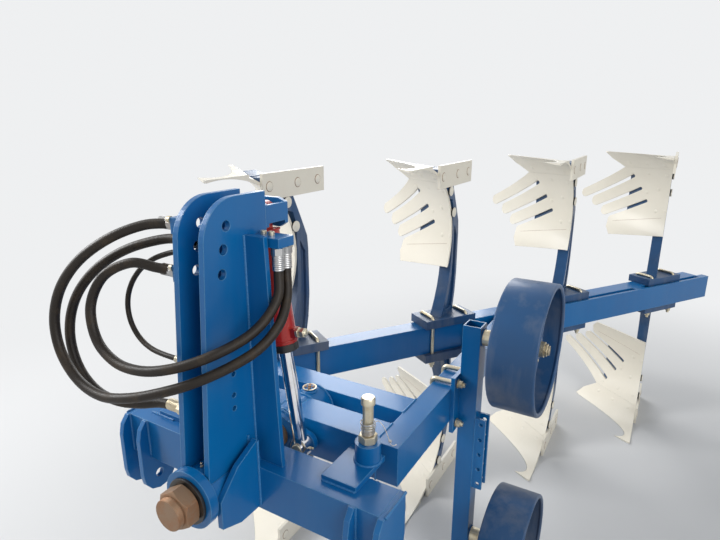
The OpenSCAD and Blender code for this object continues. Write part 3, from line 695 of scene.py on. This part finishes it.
# where the beads run: mast plates, cheek plates and stiffeners on the crossbeam, and the lugs' faces
weldFront, weldBack, weldTop = crossFront - 0.6, crossBack + 0.6, crossTop + 0.5
mastOuter, mastInner, cheekFace = shaftX + 49.5, shaftX + 33.5, shaftX + 81.0
stiffFront, stiffBack, stiffTop = -1225.6, -1210.4, 1380
innerLug, outerLug = (70, 86), (150, 166)
lugFront = ((weldFront, crossLow + 11), (weldFront, crossTop - 1))
lugBack = ((weldBack, crossLow + 13), (weldBack, crossTop - 2))
lugUnder = ((crossFront + 1, crossLow - 0.5), (crossBack - 2, crossLow - 0.5))
headWelds = plateEdge(mastOuter + 0.6, ((crossFront, weldTop), (-1226, weldTop)),
                      ((-1210, weldTop), (-1142, weldTop)), ((weldFront, 846), (weldFront, crossTop)))
headWelds += plateEdge(mastInner - 0.6, ((crossFront + 2, weldTop), (-1142, weldTop)))
headWelds += plateEdge(mastOuter + 0.3, ((stiffFront, crossTop + 5), (stiffFront, stiffTop)),
                       ((stiffBack, crossTop + 5), (stiffBack, stiffTop)))
headWelds += plateEdge(cheekFace + 0.6, ((weldFront, crossLow + 13), (weldFront, 840)))
headWelds += plateEdge(outerLug[1] + 0.5, ((crossFront + 1, crossTop), (crossBack - 1, crossTop)))
headWelds += plateEdge(innerLug[0] - 0.5, lugFront, lugBack, lugUnder)
headWelds += plateEdge(innerLug[1] + 0.5, lugFront, lugBack, lugUnder)
headWelds += plateEdge(outerLug[0] - 0.5, ((weldFront, crossLow + 3), (weldFront, crossTop - 1)), lugBack)
for x in (stopX, 2 * shaftX - stopX):
    headWelds.append(weldBead(circle((x, stopY, crossTop + stopPlate + 0.8), 35.6, 2), 4))
    headWelds.append(weldBead([(x - 70, -1213, crossTop + 0.8), (x + 30, -1213, crossTop + 0.8)], 4))
for y in (crossFront - 0.8, weldBack, -1399.6):
    headWelds.append(weldBead(circle((shaftX, y, midZ), 66, 1, 70), 4.4))
putPiece("head_welds", joined(*headWelds), "headstock", "blue_paint")
print("headstock dressed")

# shaft end, locking boss and frame welds
nutSet = {"flats": 95, "height": 40, "bore": 40.2, "place": (shaftX, -1473, midZ)}
nutSpot = [(nutSet["place"], (0, 1, 0), 0)]
hubNut = hexed(nutSet["flats"], nutSet["height"], nutSet["bore"], 48)
putPiece("hub_nut", placed(hubNut, nutSpot), "frame", "brown_steel", "shaft_nut")
ringBore, ringLow = nutSet["bore"], nutSet["height"]
hubRing = turned([(ringBore, ringLow), (61, ringLow), (62, 41), (62, 46.5), (61, 47.7), (ringBore, 47.7),
                  (ringBore, ringLow)], 60)
putPiece("hub_ring", placed(hubRing, nutSpot), "frame", "black_steel")
shaftThread = threaded(41.2, 16, 3.2, 60)
putPiece("shaft_thread", placed(shaftThread, [((shaftX, -1489.5, midZ), (0, 1, 0), 0)]), "frame",
         "brown_steel")

lockSet = {"centre": np.array((shaftX, -910, 814)), "circle": 13, "bolts": 4}
lockAngles = around(lockSet["bolts"]) + 0.5
lockBolts = [(lockSet["centre"] + lockSet["circle"] * np.array((math.cos(a), math.sin(a), 0)), (0, 0, 1), a)
             for a in lockAngles]
lockMiddle = [(lockSet["centre"], (0, 0, 1), 0)]
lockHeads = joined(placed(hexed(8, 4), lockBolts), placed(bevelled(6, -3, 6.5, (1.5, 1.5), 24), lockMiddle))
putPiece("boss_bolts", lockHeads, "frame", "brown_steel")
lockRing = turned([(19, -1.5), (23.5, -1.5), (23.5, 1), (19, 1), (19, -1.5)], 40)
putPiece("boss_ring", placed(lockRing, lockMiddle), "frame", "zinc")


def tubeLoop(x, y0, y1):
    # a bead once round the end of a tube
    ring = [(y0, tubeHigh), (y1, tubeHigh), (y1, tubeLow), (y0, tubeLow), (y0, tubeHigh)]
    return weldBead([(x, y, z) for y, z in ring], 4)


tubeEnds = ((frontTube[0] + 1, frontTube[1]), rearTube)
frameWelds = [tubeLoop(x, y0, y1) for x in (nearX, farX) for y0, y1 in tubeEnds]
sleeveEnds = (frontTube[0] - 0.6, frontTube[1] + 0.6, rearTube[0] - 0.6, -1059)
frameWelds += [weldBead(circle((shaftX, y, midZ), 65.6, 1, 70), 4.4) for y in sleeveEnds]
frameWelds.append(weldBead(circle((shaftX, -910, 804.5), 22.5, 2, 40), 4))
beamFoot = [(-659, rearTube[1], tubeHigh), (-563, rearTube[1], tubeHigh), (-563, rearTube[1], tubeLow)]
frameWelds.append(weldBead(beamFoot, 4))
lugFoot = [(-655, 751.7), (-585, 751.7), (-585, 728.3), (-655, 728.3), (-655, 751.7)]
frameWelds.append(weldBead([(x, frontTube[0] - 0.4, z) for x, z in lugFoot], 4))
for s in (1200, 1884, 2400):  # the spacers between beam and stiffener plate
    for edge in (-32.4, 32.4):
        ends = [onBeam(40.5, s + edge, z) for z in (tubeHigh - 2, tubeLow + 2)]
        frameWelds.append(weldBead(ends, 3.6))
for z in sorted(wheelHeights.values()):
    frameWelds.append(weldBead(circle((postSide + 0.4, axleY, z), 26.5, 0, 44), 3.6))
for y in (-618, -610, -576, -568):  # the hole bars' edges on the wheel post
    frameWelds.append(weldBead([(postSide + 0.4, y, 424), (postSide + 0.4, y, 688)], 3))
putPiece("frame_welds", joined(*frameWelds), "frame", "blue_paint")
print("frame dressed")

# U-bolts over the beam pads, and round the near tube for the wheel post
padBolt = {"rod": 7, "half": 48, "bend": 16, "flats": 22, "nut": 14, "washer": 15, "lead": 2.0, "tail": 11,
           "apart": 85}
postBolt = dict(padBolt, rod=8, half=72, bend=15, flats=24, nut=14, washer=16, tail=8)


def uBolt(s, top, low):
    # rod along one leg, round two quarter bends and down the other; at its feet nuts, washers and
    # threaded tails
    a = np.linspace(0, np.pi / 2, 9)
    w, b = s["half"], s["bend"]
    left = np.stack([-w + b - b * np.cos(a), 0 * a, top - b + b * np.sin(a)], 1)
    path = np.vstack([[(-w, 0, low)], left, left[::-1] * (-1, 1, 1), [(w, 0, low)]])
    feet = [((x, 0, low - s["nut"] - 2), (0, 0, 1), 0.3 * x) for x in (-w, w)]
    washer = turned([(s["rod"], 0), (s["washer"], 0), (s["washer"], 2), (s["rod"], 2)], 28)
    foot = joined(hexed(s["flats"], s["nut"], s["rod"], 30), lifted(washer, s["nut"]),
                  lifted(threaded(s["rod"] + 0.3, s["tail"] + 4, s["lead"], 16), -s["tail"]))
    return joined(swept(path, s["rod"], 16)[:2], placed(foot, feet))


def onBeams(shape, spots):
    # a shape drawn across the beam, turned with it and set at each distance along it
    c, s = math.cos(beamAngle), math.sin(beamAngle)
    spin = np.array(((c, s, 0), (-s, c, 0), (0, 0, 1)))
    return joined(*[(shape[0] @ spin.T + onBeam(0, along, 0), shape[1]) for along in spots])


padSpots = [k * pitch + e for k in bodies for e in (-padBolt["apart"], padBolt["apart"])]
overPad = uBolt(padBolt, padHigh + padBolt["rod"], padLow)
putPiece("pad_ubolts", onBeams(overPad, padSpots), "frame", "zinc", "foot_ubolts")

# the same bolt laid on its side: its height becomes minus X, its width Z
sideBolt = uBolt(postBolt, 92.3, 0)
onSide = np.array(((0, 0, 1), (0, 1, 0), (-1, 0, 0)))
postBolts = [(sideBolt[0] @ onSide + (111, y, midZ), sideBolt[1]) for y in (-640, -538)]
putPiece("post_ubolts", joined(*postBolts), "frame", "zinc", "wheel_ubolts")
print("U-bolts set")

# bolts of the plough bodies, in body-local mm: pale discs on dark collars down the leg, the collars' black a
# painted shade behind the discs, low rounds with a dark rim on the landside, the rim a painted shade round
# them, and flush heads given as (along, height) on the board and the share
legSpots = [((10, y, z), (1, 0, 0), 0) for y, z in ((-18, 110), (25, 203))]
landSpots = [((22, y, 45), (1, 0, 0), 0) for y in (-118, 36, 158)]
boardHoles = [(-5, 112), (54, 190), (64, 310), (12, 304), (97, 108), (126, 215), (201, 112), (-21, 56),
              (85, 54), (192, 56)]
lapSet = {"from": (26, 341), "to": (296, 396), "radius": 0.8}

legDisc = turned([(0, 5.5), (18.5, 5.5), (20, 6.5), (20, 9), (18.5, 10), (0, 10.6)], 36)
putPiece("leg_bolts", placed(legDisc, atStations(legSpots)), "frame", "cream_paint")
# the collar's black is painted shade: the dark crescent where the disc would shadow the cream shank
legShadeCollar = bevelled(19, 0, 6, (2, 1))
putPiece("leg_bolt_shade_collars", placed(legShadeCollar, atStations(legSpots)), "frame", "black_steel")

landBolt = bevelled(15.5, -1, 2.8, (2, 1.2), crown=0.2)
# the dark brown rim is painted shade: the shaded gap round each raised landside bolt
landShadeRim = turned([(15.3, -1), (17.4, -1), (17.4, 0.6), (15.3, 0.8), (15.3, -1)], 32)
putPiece("landside_bolts", placed(landBolt, atStations(landSpots)), "frame", "cream_paint")
putPiece("landside_shade_rims", placed(landShadeRim, atStations(landSpots)), "frame", "brown_steel")

boardBolt = bevelled(9.5, -1.5, 0.7, (0.9, 0.45), 26, 0.2)
boardSpots = [(*onBoard(*hole), 0) for hole in boardHoles]
putPiece("plough_bolts", placed(boardBolt, atStations(boardSpots)), "frame", "cream_paint")


def boardLap(s):
    # thin bead on the face of the boards, along and height going evenly from one end to the other
    along, height = np.linspace(s["from"], s["to"], 60).T
    face = np.array([onBoard(u, h, 0.35)[0] for u, h in zip(along, height)])
    return swept(face, s["radius"], 6)[:2]


putPiece("board_laps", atBodies(boardLap(lapSet)), "frame", "brown_steel")
print("bodies bolted")

# gauge wheels, outlines as (radius, distance from the inner edge)
wheelSet = {
    "radius": 206, "width": 140, "bead": 6.5, "bolts": 6, "ring": 62, "inner": 240, "hubFace": 325.5,
    "axleEnd": 362,
    "disc": [(34, 77), (118, 77), (150, 71), (199, 69), (199, 76), (152, 78), (122, 85), (34, 85), (34, 77)],
    "hub": [(0, 12), (31, 12), (34, 15), (34, 62), (46, 66), (82, 68), (84, 70), (84, 78), (34, 86),
            (34, 105), (31, 108), (0, 108)],
}


def drum(s):
    # rolled rim with a bead, radius + bead cos a and bead sin a, at both edges, round a dished disc and a hub
    w, r, b = s["width"], s["radius"], s["bead"]
    a = np.linspace(0, 1.35 * np.pi, 12)
    edge = np.stack([r - b - 1 + (b + 1) * np.cos(a), w - b + b * np.sin(a)], 1)
    rim = np.vstack([edge, edge[::-1] * (1, -1) + (0, w), edge[:1]])
    return joined(turned(rim, 96), turned(s["disc"], 72), turned(s["hub"], 48))


hubBolt = joined(hexed(17, 8), lifted(threaded(5.2, 7, 1.6, 14), 8))
castle = lifted(turned([(12, 0), (15, 0), (15, 5), (12, 5)], 30), 9)
axleNut = joined(hexed(36, 9, 12), castle, lifted(bevelled(13, 0, 8, (1.5, 2), 30), 5))
for name, body in (("upper", "top_wheel"), ("lower", "bottom_wheel")):
    z = wheelHeights[name]
    drumSpot = [((wheelSet["inner"], axleY, z), (1, 0, 0), 0)]
    putPiece(name + "_drum", placed(drum(wheelSet), drumSpot), body, "dark_paint", name + "_wheel")
    r = wheelSet["ring"]
    spots = [((wheelSet["hubFace"], axleY + r * math.cos(a), z + r * math.sin(a)), (1, 0, 0), a)
             for a in around(wheelSet["bolts"])]
    putPiece(name + "_hub_bolts", placed(hubBolt, spots), body, "zinc")
    nutPlace = [((wheelSet["axleEnd"], axleY, z), (1, 0, 0), 0.4)]
    putPiece(name + "_axle_nut", placed(axleNut, nutPlace), "frame", "zinc")
print("wheels dressed")

# turnover cylinder, measured down its own axis from its pin
lean = math.radians(8.88)
rodWay = np.array((math.sin(lean), 0, -math.cos(lean)))
rodSide = np.array((math.cos(lean), 0, math.sin(lean)))
cylinderTop = np.array((shaftX, cylinderY, cylinderZ))
rodEye = np.array((-190, cylinderY, 740))
barrelSet = {"gland": 40.3, "bore": 20.3, "slot": 3.0, "glandFrom": 361, "ports": (85, 331), "portOut": 53,
             "welds": ((47, 38.2, 3), (352, 38.6, 2.4)), "eye": 32, "rodEye": 30}


def glandRing(s):
    # collar with four spanner slots, the radius stepping in where |cos 2a| nears 1, and a wiper lip
    a = around(72)
    slot = s["slot"] * (np.abs(np.cos(2 * a)) > 0.985)
    outer, bore = s["gland"], s["bore"]
    rows = [(bore, 0), (outer, 0), (outer, 19), (outer - 2, 21.5), (27, 21.5), (26, 24.5), (bore, 24.5)]
    r = np.array([row[0] - slot * (n in (1, 2, 3)) for n, row in enumerate(rows)])
    h = np.array([row[1] + 0 * a for row in rows])
    points = np.stack([r * np.cos(a), r * np.sin(a), h], -1)
    return points.reshape(-1, 3), gridFaces(len(rows), 72)


glandSpot = [(cylinderTop + rodWay * barrelSet["glandFrom"], rodWay, 0)]
putPiece("gland_ring", placed(glandRing(barrelSet), glandSpot), "cylinder", "black_steel", "gland")
adaptor = joined(hexed(27, 9), lifted(rod(9, 0, 8), 9), lifted(hexed(24, 12), 15), lifted(domed(8.5, 4), 27))
portSpots = [(cylinderTop + rodSide * barrelSet["portOut"] + rodWay * d, rodSide, 0.1)
             for d in barrelSet["ports"]]
putPiece("barrel_ports", placed(adaptor, portSpots), "cylinder", "zinc")
barrelWelds = [placed(weldBead(circle((0, 0, 0), r, 2, 60), bead), [(cylinderTop + rodWay * d, rodWay, 0)])
               for d, r, bead in barrelSet["welds"]]
putPiece("barrel_welds", joined(*barrelWelds), "cylinder", "red_paint")
eyeSpot = [(cylinderTop + rodSide * barrelSet["eye"], rodSide, 0)]
putPiece("barrel_nipple", placed(nipple, eyeSpot), "cylinder", "zinc")
rodSpot = [(rodEye + rodSide * barrelSet["rodEye"], rodSide, 0)]
putPiece("rod_nipple", placed(nipple, rodSpot), "rod", "zinc")
pinHead = bevelled(17, 0, 4.5, (2, 1.5))
putPiece("rod_pin_head", placed(pinHead, [(rodEye + (0, -22.5, 0), (0, -1, 0), 0)]), "rod", "zinc")
print("cylinder dressed")


def seenRay(tree):
    # 1 for rays that show the surroundings: straight, mirrored or through glass
    kinds = [addNode(tree, "ShaderNodeLightPath", output=kind) for kind in
             ("Is Camera Ray", "Is Glossy Ray", "Is Transmission Ray")]
    return clampWire(kinds[0] + kinds[1] + kinds[2])


def floorFinish(s):
    # faintly stained pale floor, which turns into the backdrop's colour from the near to the far distance
    material, tree = newMaterial("floor")
    stain = noise(tree, 5, 4, 0.6) * 0.15
    colour = mixColour(tree, stain, (s["floor"],) * 3, (s["floor"] * s["stain"],) * 3)
    plain = addNode(tree, "ShaderNodeBsdfPrincipled", None, {"Base Color": colour, "Roughness": 0.8})
    where = addNode(tree, "ShaderNodeTexCoord", output="Object")
    reach = addNode(tree, "ShaderNodeVectorMath", {"operation": "LENGTH"}, {0: where}, "Value")
    away = addNode(tree, "ShaderNodeMapRange", {"interpolation_type": "SMOOTHSTEP"},
                   {"Value": reach, "From Min": s["near"], "From Max": s["far"]})
    glow = addNode(tree, "ShaderNodeEmission", None, {0: s["pale"]})
    both = addNode(tree, "ShaderNodeMixShader", None, {0: away * seenRay(tree), 1: plain, 2: glow})
    closeMaterial(tree, both)
    return material


def makeFloor(s):
    # one square just under the wheel and the shares
    half, low = s["half"], -s["sink"]
    mesh = bpy.data.meshes.new("floor")
    mesh.from_pydata([(-half, -half, low), (half, -half, low), (half, half, low), (-half, half, low)],
                     [], [(0, 1, 2, 3)])
    mesh.materials.append(floorFinish(s))
    floor = bpy.data.objects.new("floor", mesh)
    bpy.context.scene.collection.objects.link(floor)


def makeWorld(s):
    # cool light from all round, seen as the backdrop's pale colour
    world = bpy.data.worlds.new("studio")
    bpy.context.scene.world = world
    world.use_nodes = True
    tree = world.node_tree
    tree.nodes.clear()
    light = addNode(tree, "ShaderNodeBackground", None, {0: s["sky"], 1: s["world"]})
    seen = addNode(tree, "ShaderNodeBackground", None, {0: s["pale"]})
    both = addNode(tree, "ShaderNodeMixShader", None, {0: seenRay(tree), 1: light, 2: seen})
    addNode(tree, "ShaderNodeOutputWorld", None, {0: both}, None)


makeFloor(stageSet)
makeWorld(stageSet)
for name, s in lampSet.items():
    areaLamp(name, s)
print("stage set")
